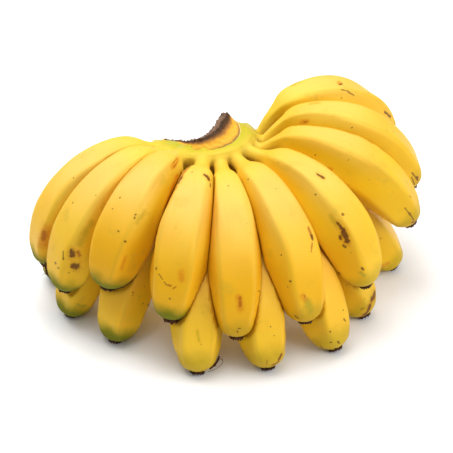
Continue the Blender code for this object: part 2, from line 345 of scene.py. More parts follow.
class Finger:
    """One banana: its middle line, its radius along it, and its own irregularities."""

    def __init__(self, name, row, seed):
        place, height, tip, leave, arrive, bend, self.radius, self.neck = row
        self.name = name
        self.ends_at = FOOT_ENDS_AT if "lower" in name else SKIN_ENDS_AT
        self.late = 0 if "lower" in name else LATE_SHOULDERS.get(int(name[-2:]), 0)
        self.line = MiddleLine(place, height, tip, leave, arrive, bend, self.neck)
        self.length = self.line.length
        self.radii = self.thickness(self.line.share)
        self.random = np.random.default_rng(seed)
        self.waves = self.random.uniform(size=(SWELLINGS, 4))
        self.wander_phase = self.random.uniform(0, 2 * math.pi, 2)

    def thickness(self, share):
        """The radius at shares of the length. A long neck and a late shoulder stay thin for longer,
        and a tip that stands on the table is full for longer."""
        thinnest = THINNEST_AT if self.neck else 0
        read = share - self.late * step(share, *LATE_FROM) * (1 - step(share, *LATE_UNTIL))
        read = np.clip(read - self.neck * (1 - share) ** 3, thinnest, 1)
        blunt = step(read, *BLUNT_FROM) * (1 - step(read, BLUNT_UNTIL, self.ends_at))
        read = read - (BLUNT_FOOT if "lower" in self.name else BLUNT_TIP) * blunt
        read = read - (self.ends_at - SKIN_ENDS_AT) * step(read, 0.8, self.ends_at)
        return self.radius * smooth_through(read, THICKNESS)

    def outside(self, points):
        """How far points are outside the finger's round skin; it is negative inside."""
        return (distances(points, self.line.points) - self.radii).min(axis=1)

    def swelling(self, share, around):
        """Slow waves along and round the finger, as a share of its radius."""
        total = np.zeros(share.shape)
        for along, turns, phase, height in self.waves:
            cycles = 1 + 3 * along
            lobes = 1 + int(3 * turns)
            total += height * np.sin(2 * math.pi * (cycles * share + phase) + lobes * around)
        return SWELLING * total

    def free_skin(self, share, around):
        """The middle line's point, the direction and the distance of each point of the skin."""
        body = step(share, *EDGED_FROM) * (1 - step(share, *EDGED_UNTIL))
        first, second = self.wander_phase
        wander = np.sin(2.6 * math.pi * share + first) + 0.5 * np.sin(6.1 * math.pi * share + second)
        edged = five_sides(around + WANDER * wander * body) / MEAN_OUTLINE
        reach = self.thickness(share) * (1 + body * (edged - 1 + self.swelling(share, around)))
        line = self.line
        rows = (line.points, line.out, line.side)
        centre, out, side = (interpolate(share, line.share, row) for row in rows)
        way = np.cos(around)[..., None] * out + np.sin(around)[..., None] * side
        return centre, way, reach

    def near(self, other):
        """True if the two fingers could touch."""
        apart = distances(self.line.points, other.line.points)
        return bool((apart - self.radii[:, None] - other.radii).min() < CLOSE)

    def pressed_skin(self, share, around, others):
        """The skin's points, and how far each one was pushed back by the neighbours."""
        centre, way, reach = self.free_skin(share, around)
        centre, way = centre.reshape(-1, 3), way.reshape(-1, 3)
        free = reach.reshape(-1)
        reach = free.copy()
        for other in others:
            points = centre + way * reach[:, None]
            crossing = np.flatnonzero(other.outside(points) - self.outside(points) < GAP)
            low, high = np.zeros(len(crossing)), reach[crossing]
            for _ in range(HALVINGS if len(crossing) else 0):
                middle = 0.5 * (low + high)
                points = centre[crossing] + way[crossing] * middle[:, None]
                clear = other.outside(points) - self.outside(points) >= GAP
                low, high = np.where(clear, middle, low), np.where(clear, high, middle)
            reach[crossing] = low
        points = centre + way * reach[:, None]
        return points.reshape(*share.shape, 3), (free - reach).reshape(share.shape)


fingers = {name: Finger(name, row, seed) for seed, (name, row) in enumerate(FINGERS.items())}
lengths = [1000 * finger.length for finger in fingers.values()]
print("finger lengths in mm, along the bend:", round(min(lengths)), "to", round(max(lengths)))

# %% [markdown]
# ## From a grid to a mesh
#
# Every new piece is a closed tube: a grid of rings, with a point at each end that closes it. The
# faces are worked out from the grid's own numbering. What the materials need to know, such as the
# share of the length, goes with the points as attributes.

# %% Grid to mesh
def round_grid(down, columns):
    """Two tables, with a row for each value of down and a column for each angle of a full turn."""
    return np.meshgrid(down, np.arange(columns) * 2 * math.pi / columns, indexing="ij")


def tube_faces(rings, columns):
    """Quads between neighbouring rings, and two fans of triangles to the two end points."""
    first = np.arange(rings - 1)[:, None] * columns
    here = np.arange(columns)
    after = (here + 1) % columns
    quads = np.stack([first + here, first + after, first + columns + after, first + columns + here], -1)
    last = (rings - 1) * columns
    start, end = rings * columns, rings * columns + 1
    fan_in = np.stack([after, here, np.full(columns, start)], -1)
    fan_out = np.stack([last + here, last + after, np.full(columns, end)], -1)
    return quads.reshape(-1, 4).tolist() + fan_in.tolist() + fan_out.tolist()


def with_ends(values):
    """The values of a grid as a list, followed by the mean of its first ring and of its last."""
    flat = values.reshape(values.shape[0] * values.shape[1], -1)
    return np.vstack([flat] + [ring.mean(axis=0).reshape(1, -1) for ring in (values[0], values[-1])])


def new_piece(name, points, faces, attributes, material, slot, *nodes):
    """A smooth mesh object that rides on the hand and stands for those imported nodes, if any."""
    mesh = bpy.data.meshes.new(name)
    mesh.from_pydata(points, [], faces)
    for key, values in attributes.items():
        kind, field = ("FLOAT_VECTOR", "vector") if values.shape[-1] == 3 else ("FLOAT", "value")
        made = mesh.attributes.new(key, kind, "POINT")
        made.data.foreach_set(field, values.astype(np.float32).ravel())
    mesh.materials.append(material)
    mesh.shade_smooth()
    piece = bpy.data.objects.new(name, mesh)
    bpy.context.scene.collection.objects.link(piece)
    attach(piece, "root")
    if nodes:
        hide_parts(*nodes)
    return piece


# %% [markdown]
# ## Tools for materials
#
# The materials are procedural: noise and formulas instead of pictures. A few short helpers keep the
# node trees readable, because a tree is built from the same few steps again and again: read an
# attribute, make a noise, turn a range of values into another, and mix two colours.

# %% Node helpers
class Tree:
    """Adds nodes to a material or a group, with sockets that are given as values or as links."""

    def __init__(self, tree):
        self.tree = tree

    def node(self, kind, inputs=(), **settings):
        """A new node with its settings, and its inputs set or linked by name or number."""
        made = self.tree.nodes.new(kind)
        for key, value in settings.items():
            setattr(made, key, value)
        for key, value in dict(inputs).items():
            if isinstance(value, bpy.types.NodeSocket):
                self.tree.links.new(value, made.inputs[key])
            else:
                made.inputs[key].default_value = value
        return made

    def wire(self, target, sockets):
        """Links each socket to the target's input of that name."""
        for key, socket in sockets.items():
            self.tree.links.new(socket, target.inputs[key])

    def attribute(self, name, output="Fac"):
        return self.node("ShaderNodeAttribute", attribute_name=name).outputs[output]

    def place(self):
        """The point's own place in the frame, in metres."""
        return self.node("ShaderNodeTexCoord").outputs["Object"]

    def scaled(self, vector, scale):
        """The vector times a scale for each axis."""
        return self.node("ShaderNodeMapping", {"Vector": vector, "Scale": scale}).outputs["Vector"]

    def noise(self, vector, scale, detail=3.0, roughness=0.5, output="Fac"):
        inputs = {"Vector": vector, "Scale": scale, "Detail": detail, "Roughness": roughness}
        return self.node("ShaderNodeTexNoise", inputs).outputs[output]

    def math(self, operation, a, b=0.0, c=0.0):
        return self.node("ShaderNodeMath", {0: a, 1: b, 2: c}, operation=operation).outputs[0]

    def times(self, a, b):
        return self.math("MULTIPLY", a, b)

    def moved(self, value, noise, amount):
        """The value, moved up or down by noise from 0 to 1, by half the amount at most."""
        return self.math("MULTIPLY_ADD", noise, amount, self.math("ADD", value, -0.5 * amount))

    def vector(self, operation, a, b=(0, 0, 0), output="Vector"):
        return self.node("ShaderNodeVectorMath", {0: a, 1: b}, operation=operation).outputs[output]

    def ranged(self, value, low, high, to_low=0.0, to_high=1.0):
        """The value, from low to high, turned smoothly into to_low to to_high."""
        inputs = {"Value": value, "From Min": low, "From Max": high, "To Min": to_low, "To Max": to_high}
        return self.node("ShaderNodeMapRange", inputs, interpolation_type="SMOOTHSTEP").outputs["Result"]

    def mixed(self, amount, first, second, blend="MIX"):
        """Two colours mixed by an amount from 0 to 1."""
        made = self.node("ShaderNodeMix", {"Factor": amount}, data_type="RGBA", blend_type=blend)
        for socket, value in ((made.inputs[6], first), (made.inputs[7], second)):
            if isinstance(value, bpy.types.NodeSocket):
                self.tree.links.new(value, socket)
            else:
                socket.default_value = (*value, 1)
        return made.outputs[2]

    def bumped(self, height, distance=1.0, strength=0.8):
        """The normal of a surface with that relief."""
        inputs = {"Height": height, "Distance": distance, "Strength": strength}
        return self.node("ShaderNodeBump", inputs).outputs["Normal"]


SHINE = 0.3


def new_material(name, roughness, tint):
    """A material with its tree helper and its shader. The tint colours its reflections."""
    made = bpy.data.materials.new(name)
    made.use_nodes = True
    shader = made.node_tree.nodes["Principled BSDF"]
    looks = {"Roughness": roughness, "Specular Tint": (*tint, 1), "Specular IOR Level": SHINE}
    for key, value in looks.items():
        shader.inputs[key].default_value = value
    return made, Tree(made.node_tree), shader


def new_group(name, inputs, outputs):
    """A node group with those sockets: the group, its tree helper, its inputs and its output node."""
    made = bpy.data.node_groups.new(name, "ShaderNodeTree")
    for way, sockets in (("INPUT", inputs), ("OUTPUT", outputs)):
        for key, kind in sockets.items():
            made.interface.new_socket(key, in_out=way, socket_type=kind)
    tree = Tree(made)
    return made, tree, tree.node("NodeGroupInput").outputs, tree.node("NodeGroupOutput")


NUMBER, COLOUR, VECTOR = "NodeSocketFloat", "NodeSocketColor", "NodeSocketVector"

# %% [markdown]
# ## The peel
#
# Ripe peel is a saturated warm yellow that is never even. It is greener where the neck joins the
# crown and olive green at the tip, it has faint lengthwise fibres, clouds of a deeper tone, brown
# specks in loose clusters and faint grey rubs. It also carries painted light and shade: a pale painted
# highlight on each finger's upper side that fades towards the tip, painted shade that deepens the lower
# part of each upper finger, and a deep orange painted shade in the crevices where neighbours press on
# each other. All of this is one group, which every finger's material shares, with a few numbers of its
# own: how green its tip is, how speckled, how lemon it is (on three lower fingers this is painted light),
# how much painted shade its lower part gets, and where its tip has dried.

# %% The peel's colours
YELLOW_PALE = (0.82, 0.51, 0.020)
YELLOW_DEEP = (0.76, 0.38, 0.005)
LEMON = (0.82, 0.535, 0.020)
LEMON_DEEP = (0.79, 0.460, 0.010)
# The next colour is a painted highlight, laid on the fingers' upper sides.
PAINTED_HIGHLIGHT = (0.84, 0.530, 0.175)
NECK_PALE = (0.74, 0.52, 0.065)
NECK_GREEN = (0.46, 0.42, 0.018)
TIP_GREEN = (0.155, 0.160, 0.003)
# The next two colours are painted shade: one for the crown's hollows, one for the crevices where fingers
# press together.
PAINTED_HOLLOW_SHADE = (0.200, 0.140, 0.004)
PAINTED_CREVICE_ORANGE = (0.560, 0.250, 0.004)
RUB_GREY = (0.50, 0.33, 0.028)
SPECK_BROWN = (0.11, 0.045, 0.012)
DRIED_BLACK = (0.018, 0.011, 0.008)
WAX_TINT = (1.0, 0.86, 0.42)


def peel_group():
    """The peel without its bruises: colour, roughness and the height of its relief in metres."""
    group, tree, given, result = new_group(
        "ripe_peel_group",
        {"Green Tip": NUMBER, "Specks": NUMBER, "Lemon And Painted Light": NUMBER, "Dried At": NUMBER, "Painted Lower Shade": NUMBER},
        {"Color": COLOUR, "Roughness": NUMBER, "Height": NUMBER},
    )
    place = tree.place()
    straight = tree.attribute("straight", "Vector")
    share = tree.attribute("share")
    clouds = tree.noise(place, 24, 2)
    pale = tree.mixed(given["Lemon And Painted Light"], YELLOW_PALE, LEMON)
    deep = tree.mixed(given["Lemon And Painted Light"], YELLOW_DEEP, LEMON_DEEP)
    colour = tree.mixed(tree.ranged(clouds, 0.35, 0.70), pale, deep)
    # Painted highlight: the upper side of each finger is mixed towards a pale colour, less so towards the
    # tip.
    outward = tree.node("ShaderNodeSeparateXYZ", {0: straight}).outputs["X"]
    upper_side = tree.ranged(outward, 0.004, 0.017, 0.0, 0.6)
    painted_highlight = tree.times(upper_side, tree.ranged(share, 0.35, 0.80, 1.0, 0.2))
    colour = tree.mixed(painted_highlight, colour, PAINTED_HIGHLIGHT)
    # Painted shade: towards the tip the finger is mixed towards the deep yellow, darker where less light
    # falls.
    painted_lower_shade = tree.times(tree.ranged(share, 0.45, 0.80), given["Painted Lower Shade"])
    colour = tree.mixed(painted_lower_shade, colour, YELLOW_DEEP)
    ridge = tree.times(tree.ranged(tree.attribute("edge"), 0.93, 1.0, 0.0, 0.4), clouds)
    colour = tree.mixed(ridge, colour, RUB_GREY)
    # Painted shade: where neighbours press together, the crevice between them is painted a deep orange.
    painted_crevice = tree.ranged(tree.attribute("pushed"), 0.0, 0.6, 0.0, 0.75)
    colour = tree.mixed(painted_crevice, colour, PAINTED_CREVICE_ORANGE)

    fibres = tree.noise(tree.scaled(straight, (1, 1, 0.08)), 620, 2)
    colour = tree.mixed(tree.ranged(fibres, 0.35, 0.75, 0.0, 0.16), colour, YELLOW_DEEP)

    uneven = tree.noise(straight, 70, 3)
    rub = tree.ranged(tree.noise(place, 75, 4, 0.65), 0.56, 0.72, 0.0, 0.32)
    colour = tree.mixed(rub, colour, RUB_GREY)

    wobbling = tree.moved(share, uneven, 0.10)
    run = tree.moved(tree.attribute("run"), clouds, 0.016)
    colour = tree.mixed(tree.ranged(run, 0.012, 0.045, 0.75, 0.0), colour, NECK_PALE)
    colour = tree.mixed(tree.ranged(run, 0.002, 0.017, 0.9, 0.0), colour, NECK_GREEN)
    green = tree.times(tree.ranged(wobbling, 0.86, 0.95), given["Green Tip"])
    colour = tree.mixed(green, colour, TIP_GREEN)

    warp = tree.scaled(tree.noise(straight, 900, 2, output="Color"), (0.0012,) * 3)
    warped = tree.vector("ADD", straight, warp)
    cells = tree.node("ShaderNodeTexVoronoi", {"Vector": warped, "Scale": 210.0})
    chance = tree.node("ShaderNodeSeparateColor", {0: cells.outputs["Color"]}).outputs
    cluster = tree.ranged(tree.noise(place, 32, 2), 0.50, 0.66)
    likely = tree.times(tree.math("MULTIPLY_ADD", cluster, 0.75, 0.12), given["Specks"])
    size = tree.math("MULTIPLY_ADD", chance[1], 0.10, 0.03)
    inside = tree.ranged(tree.math("SUBTRACT", size, cells.outputs["Distance"]), -0.03, 0.03)
    chosen = tree.math("LESS_THAN", chance[0], likely)
    speck = tree.times(tree.times(inside, chosen), 0.8)
    colour = tree.mixed(speck, colour, SPECK_BROWN)

    ragged = tree.moved(share, tree.noise(straight, 420, 3), 0.030)
    dry = tree.ranged(tree.math("SUBTRACT", ragged, given["Dried At"]), -0.003, 0.003)
    colour = tree.mixed(dry, colour, DRIED_BLACK)

    grain = tree.noise(place, 1500, 2)
    relief = tree.math("MULTIPLY_ADD", grain, 0.00003, tree.times(fibres, 0.00005))
    relief = tree.math("MULTIPLY_ADD", uneven, 0.0003, relief)
    relief = tree.math("MULTIPLY_ADD", dry, tree.times(fibres, 0.0006), relief)
    dull = tree.math("MULTIPLY_ADD", green, 0.25, tree.times(dry, 0.4))
    rough = tree.math("ADD", tree.ranged(uneven, 0.3, 0.7, 0.42, 0.52), dull)
    tree.wire(result, {"Color": colour, "Roughness": rough, "Height": relief})
    return group


PEEL = peel_group()
print("peel nodes:", len(PEEL.nodes))


# %% [markdown]
# ## Marks on the peel
#
# A ripe banana tells its story in marks: dark bruises where it was knocked, with an orange halo;
# brown spots, reddish sores, soft orange blushes, dull rubs, greenish clouds and thin scratches. Each
# one is a short line on the unbent finger: from one share and angle to another, with a width in
# millimetres. Their places were read in the photograph and turned into shares and angles. A helper
# program that is not kept turned them into shares and angles. About two thirds of the rows are its
# results, rounded, and the others were moved or added by hand. Marks on the far sides, which the
# photograph does not show, are drawn by lot.

# %% Marks that the photograph shows
MARKS = {
    "finger_upper_01": (
        ("blush", 0.76, -40, 0.83, -45, 3.5), ("sore", 0.77, -40, 0.81, -43, 1.3),
        ("spot", 0.18, -58, 0.17, -58, 0.7),
    ),
    "finger_upper_02": (
        ("bruise", 0.74, -40, 0.76, -45, 1.4), ("sore", 0.74, -55, 0.75, -60, 1.3),
        ("bruise", 0.81, -57, 0.81, -65, 2.0), ("spot", 0.76, -24, 0.79, -30, 0.5),
        ("spot", 0.83, -5, 0.83, -9, 0.6), ("spot", 0.84, -20, 0.84, -24, 0.5),
        # The long rub from share 0.70 to 0.60 is a painted shadow cast by finger_upper_03.
        ("rub", 0.70, -50, 0.60, -52, 2.0), ("rub", 0.89, -25, 0.91, -25, 0.6),
        ("spot", 0.57, 15, 0.57, 15, 0.4),
    ),
    "finger_upper_03": (
        ("spot", 0.56, 40, 0.56, 40, 0.4), ("spot", 0.59, 15, 0.59, 15, 0.4),
        ("spot", 0.53, 14, 0.53, 14, 0.4), ("spot", 0.67, -17, 0.67, -20, 0.5),
        ("spot", 0.70, -38, 0.70, -40, 0.5), ("rub", 0.60, -44, 0.54, -48, 1.2),
        ("blush", 0.27, -50, 0.20, -45, 1.5), ("sore", 0.25, -42, 0.21, -40, 0.4),
        ("sore", 0.26, -52, 0.22, -50, 0.4), ("blush", 0.83, -55, 0.77, -52, 1.0),
        ("blush", 0.27, -80, 0.44, -97, 1.4), ("bruise", 0.23, -86, 0.42, -105, 0.7),
    ),
    "finger_upper_04": (
        ("sore", 0.22, 28, 0.30, 34, 0.8), ("bruise", 0.31, 33, 0.34, 35, 0.8),
        ("spot", 0.37, 36, 0.38, 37, 0.6), ("blush", 0.36, 38, 0.46, 46, 1.2),
        ("bruise", 0.56, 52, 0.59, 48, 1.1), ("bruise", 0.28, -26, 0.29, -34, 0.9),
        ("bruise", 0.29, -33, 0.30, -38, 0.8), ("spot", 0.32, -45, 0.33, -46, 0.6),
        ("spot", 0.27, 12, 0.27, 12, 0.5), ("spot", 0.74, 32, 0.74, 32, 0.5),
        ("scratch", 0.76, 26, 0.78, 18, 0.3), ("scratch", 0.79, 14, 0.80, 8, 0.3),
        ("sore", 0.80, 4, 0.80, -2, 0.5), ("blush", 0.74, -20, 0.76, -23, 1.8),
        ("sore", 0.81, -8, 0.80, -14, 0.4),
    ),
    "finger_upper_05": (
        ("blush", 0.79, 0, 0.83, -3, 2.0), ("sore", 0.79, -3, 0.82, -3, 0.9),
        ("spot", 0.77, -55, 0.77, -70, 0.35), ("spot", 0.92, 0, 0.92, -4, 0.5),
        ("spot", 0.93, 5, 0.94, 2, 0.4), ("spot", 0.31, 2, 0.31, 0, 0.35),
    ),
    "finger_upper_06": (
        ("sore", 0.59, -32, 0.62, -32, 0.8), ("bruise", 0.62, -32, 0.64, -31, 0.7),
        ("sore", 0.65, -28, 0.68, -20, 0.6), ("blush", 0.84, 25, 0.86, 19, 1.5),
        ("sore", 0.84, 22, 0.85, 20, 0.5), ("green", 0.87, 17, 0.91, 10, 2.2),
        ("spot", 0.77, 44, 0.77, 42, 0.6), ("spot", 0.66, 47, 0.66, 45, 0.5),
        ("spot", 0.93, 61, 0.94, 54, 0.6),
    ),
    "finger_upper_07": (
        ("bruise", 0.45, 2, 0.47, -2, 1.0), ("spot", 0.63, 28, 0.63, 27, 0.9),
        ("spot", 0.50, 44, 0.50, 44, 0.6), ("rub", 0.61, 49, 0.65, 50, 1.4),
        ("bruise", 0.65, 46, 0.68, 44, 1.0), ("bruise", 0.69, 46, 0.73, 50, 1.5),
        ("bruise", 0.70, 58, 0.71, 60, 0.8), ("spot", 0.74, 62, 0.75, 60, 0.7),
        ("spot", 0.86, 46, 0.87, 44, 0.7), ("green", 0.88, 52, 0.90, 47, 1.1),
    ),
    "finger_upper_08": (
        ("scratch", 0.86, 57, 0.91, 56, 0.5), ("scratch", 0.89, 54, 0.94, 54, 0.5),
        ("bruise", 0.95, 62, 0.96, 40, 1.0), ("blush", 0.47, 97, 0.48, 94, 1.2),
        ("spot", 0.39, 76, 0.39, 78, 0.4), ("spot", 0.36, 91, 0.38, 89, 0.5),
        ("spot", 0.83, 31, 0.84, 30, 0.4),
    ),
    "finger_upper_09": (
        ("blush", 0.31, 57, 0.33, 53, 1.3), ("sore", 0.32, 56, 0.33, 55, 0.5),
        ("rub", 0.35, -24, 0.38, -26, 1.2), ("scratch", 0.87, 60, 0.93, 52, 0.6),
        ("bruise", 0.91, 52, 0.97, 47, 0.9), ("scratch", 0.89, 68, 0.94, 69, 0.5),
    ),
    "finger_upper_10": (
        ("blush", 0.53, 0, 0.51, 14, 1.2), ("bruise", 0.53, 10, 0.51, 18, 0.6),
        ("scratch", 0.50, 36, 0.53, 38, 0.4), ("scratch", 0.53, 40, 0.56, 45, 0.5),
        ("scratch", 0.59, 71, 0.65, 71, 0.3), ("scratch", 0.65, 71, 0.71, 69, 0.3),
        ("bruise", 0.77, 46, 0.82, 42, 0.8), ("rub", 0.33, -27, 0.36, -28, 1.4),
    ),
    "finger_lower_02": (("green", 0.89, -65, 0.89, -85, 1.2),),
    "finger_lower_03": (
        ("spot", 0.76, -103, 0.77, -106, 0.8), ("spot", 0.96, 24, 0.96, 14, 0.8),
    ),
    "finger_lower_04": (("rub", 0.80, -1, 0.84, -6, 0.8),),
    "finger_lower_05": (
        ("bruise", 0.95, -23, 0.93, -30, 0.8), ("bruise", 0.97, -2, 0.96, -25, 0.7),
        ("scratch", 0.94, 17, 0.96, 20, 0.3),
    ),
    "finger_lower_06": (
        ("spot", 0.95, 87, 0.96, 82, 0.7), ("spot", 0.94, 45, 0.94, 42, 0.6),
        ("spot", 0.95, 20, 0.96, 16, 0.8), ("spot", 0.89, 33, 0.89, 33, 0.5),
        ("spot", 0.87, -18, 0.88, -21, 0.5),
    ),
    "finger_lower_07": (
        ("bruise", 0.91, -25, 0.92, 5, 1.4), ("bruise", 0.94, 20, 0.97, 50, 1.4),
        ("bruise", 0.98, 70, 0.98, 95, 1.0), ("scratch", 0.93, 52, 0.93, 42, 0.5),
    ),
    "finger_lower_08": (
        ("bruise", 0.94, 145, 0.96, 120, 1.0), ("blush", 0.90, 97, 0.91, 80, 1.4),
    ),
}
print("marks that the photograph shows:", sum(len(rows) for rows in MARKS.values()))

# %% Marks as nodes
# How much wider than given, how soft, how strong, and the colour.
MARK_LOOKS = {
    "spot": (1.0, 0.30, 0.85, (0.140, 0.050, 0.006)),
    "bruise": (1.0, 0.35, 0.92, (0.125, 0.036, 0.005)),
    "halo": (1.7, 0.70, 0.50, (0.520, 0.190, 0.006)),
    "sore": (1.0, 0.60, 0.85, (0.400, 0.115, 0.005)),
    "blush": (1.0, 0.90, 0.75, (0.640, 0.220, 0.006)),
    "rub": (1.0, 0.90, 0.55, (0.450, 0.290, 0.008)),
    "green": (1.0, 0.90, 0.60, (0.300, 0.270, 0.014)),
    "scratch": (1.0, 0.45, 0.80, (0.190, 0.080, 0.010)),
}
UNSEEN_MARKS = 5
SHORTEST_MARK = 0.002
DRIED_RIM = 0.009
RAGGED = 1.7


def mark_group():
    """How much of a mark there is: 1 near the line between two points, 0 beyond a ragged border."""
    group, tree, given, result = new_group(
        "peel_mark", {"From": VECTOR, "To": VECTOR, "Width": NUMBER, "Soft": NUMBER}, {"Amount": NUMBER}
    )
    straight = tree.attribute("straight", "Vector")
    away = tree.vector("SUBTRACT", straight, given["From"])
    line = tree.vector("SUBTRACT", given["To"], given["From"])
    reached = tree.vector("DOT_PRODUCT", away, line, "Value")
    along = tree.math("DIVIDE", reached, tree.vector("DOT_PRODUCT", line, line, "Value"))
    held = tree.math("MINIMUM", tree.math("MAXIMUM", along, 0.0), 1.0)
    nearest = tree.node("ShaderNodeVectorMath", {0: line, 3: held}, operation="SCALE").outputs["Vector"]
    apart = tree.vector("LENGTH", tree.vector("SUBTRACT", away, nearest), output="Value")
    share = tree.math("DIVIDE", apart, given["Width"])
    ragged = tree.math("ADD", tree.noise(straight, 900, 3, 0.6), tree.noise(straight, 300, 2))
    share = tree.math("MULTIPLY_ADD", ragged, RAGGED, tree.math("ADD", share, -RAGGED))
    inner = tree.math("SUBTRACT", 1.0, given["Soft"])
    outer = tree.math("ADD", 1.0, given["Soft"])
    tree.wire(result, {"Amount": tree.ranged(share, inner, outer, 1.0, 0.0)})
    return group


MARK = mark_group()


def on_unbent(finger, share, degrees):
    """The place on the unbent finger at that share of the length and that angle."""
    reach = float(finger.thickness(np.array(share)))
    angle = math.radians(degrees)
    return reach * math.cos(angle), reach * math.sin(angle), share * finger.length


def add_mark(tree, colour, finger, kind, share, degrees, share_to, degrees_to, width):
    """The colour with one more mark mixed in."""
    wider, soft, most, tint = MARK_LOOKS[kind]
    if share == share_to and degrees == degrees_to:
        share_to = share + SHORTEST_MARK
    numbers = {"Width": width * wider * MILLIMETRE, "Soft": soft}
    numbers["From"] = on_unbent(finger, share, degrees)
    numbers["To"] = on_unbent(finger, share_to, degrees_to)
    mark = tree.node("ShaderNodeGroup", numbers, node_tree=MARK)
    return tree.mixed(tree.times(mark.outputs["Amount"], most), colour, tint)


def unseen_marks(finger):
    """Marks drawn by lot for the side of the finger that faces away from the camera."""
    random = finger.random
    marks = []
    for _ in range(UNSEEN_MARKS):
        kind = random.choice(["spot", "spot", "scratch", "rub", "bruise"])
        share, degrees = random.uniform(0.3, 0.93), random.uniform(110, 250)
        longer = random.uniform(0.01, 0.07) if kind in ("scratch", "rub") else 0.004
        turn = random.uniform(-9, 9)
        width = random.uniform(0.3, 0.9) * (1.8 if kind == "rub" else 1)
        marks.append((str(kind), share, degrees, share + longer, degrees + turn, width))
    return marks


def peel_material(finger, green_tip, specks, lemon_and_painted_light):
    """The material of one finger: the shared peel with its own marks."""
    made, tree, shader = new_material(finger.name + "_peel", 0.45, WAX_TINT)
    # How much painted shade darkens the lower part of the finger.
    painted_lower_shade = 0.35 if lemon_and_painted_light == 1.0 else 0.75
    numbers = {"Green Tip": green_tip, "Specks": specks, "Lemon And Painted Light": lemon_and_painted_light}
    numbers["Painted Lower Shade"] = 0.1 if "lower" in finger.name else painted_lower_shade
    numbers["Dried At"] = finger.ends_at - DRIED_RIM
    skin = tree.node("ShaderNodeGroup", numbers, node_tree=PEEL)
    colour = skin.outputs["Color"]
    marks = [*MARKS.get(finger.name, ()), *unseen_marks(finger)]
    marks.sort(key=lambda mark: mark[0] == "scratch")
    for kind, *where, width in marks:
        if kind == "bruise":
            colour = add_mark(tree, colour, finger, "halo", *where, width)
    for kind, *where, width in marks:
        colour = add_mark(tree, colour, finger, kind, *where, width)
    normal = tree.bumped(skin.outputs["Height"])
    tree.wire(shader, {"Base Color": colour, "Roughness": skin.outputs["Roughness"], "Normal": normal})
    return made


# %% [markdown]
# ## Make the fingers
#
# Each finger is laid on a grid of rings. The rings stand closer together where the skin bends most,
# at the neck and at the tip. The first one is hidden inside the crown. Some fingers are more lemon
# than the rest; on three lower fingers the lemon is painted light that brightens them in their shade.
# Those at the left have the greenest tips.

# %% The fingers
RINGS = 110
COLUMNS = 64
FULLY_PUSHED = 0.001
OTHER_GREEN = 0.40
GREEN_TIPS = named("upper", 1, 2, 3, 4) + named("lower", 1, 2, 3)
# Lower fingers 5, 7 and 8 are lemon as painted light, lighter to make up for the shade they sit in.
LEMON_AND_PAINTED_LIGHT_FINGERS = named("upper", 1, 2, 7, 8, 9, 10) + named("lower", 5, 7, 8)


def ring_shares(count, end):
    """Shares of the length up to the end, closer together near both ends: u - 0.11 sin(2 pi u)."""
    u = np.linspace(0, 1, count)
    return end * (u - 0.11 * np.sin(2 * math.pi * u))


def make_finger(finger):
    """The skin of one finger as a piece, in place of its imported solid."""
    share, around = round_grid(ring_shares(RINGS, finger.ends_at), COLUMNS)
    others = [other for other in fingers.values() if other is not finger and finger.near(other)]
    points, pushed = finger.pressed_skin(share, around, others)
    points[..., 2] = np.maximum(points[..., 2], 0.0)
    reach = finger.thickness(share)
    straight = np.stack([reach * np.cos(around), reach * np.sin(around), share * finger.length], -1)
    attributes = {
        "share": with_ends(share),
        "run": with_ends(share * finger.length),
        "straight": with_ends(straight),
        "edge": with_ends(edge_nearness(around)),
        "pushed": with_ends(step(pushed, 0, FULLY_PUSHED)),
    }
    green_tip = 1.0 if finger.name in GREEN_TIPS else OTHER_GREEN
    lemon_and_painted_light = 1.0 if finger.name in LEMON_AND_PAINTED_LIGHT_FINGERS else finger.random.uniform(0.1, 0.5)
    material = peel_material(finger, green_tip, finger.random.uniform(0.4, 0.9), lemon_and_painted_light)
    faces = tube_faces(RINGS, COLUMNS)
    return new_piece(
        finger.name + "_skin", with_ends(points), faces, attributes, material, "ripe_peel", finger.name
    )


skins = {name: make_finger(finger) for name, finger in fingers.items()}
print("triangles on the fingers:", sum(2 * len(skin.data.polygons) for skin in skins.values()))

# %% [markdown]
# ## The crown
#
# The crown is one lump of flesh: a pad that wrapped round the stalk, with twenty necks growing out of
# it. Nothing on it is a seam, so it is made as one surface. Its shape is written as a distance: how
# far is a point outside the pad, and how far outside each neck? The distances are blended, so that
# the necks flow into the pad like webbed toes, and the knife's slanted cut is taken off the result.
#
# The pad's section is given at ten angles round the stalk. Its skin side is a smooth curve, and the
# three corners of the cut stay crisp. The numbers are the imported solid's but for two changes. The
# outer corner above the fingers is up to 7 mm higher and 2.3 mm further out, so that the flesh
# reaches higher between the necks. The left end of the cut is just under a millimetre lower.

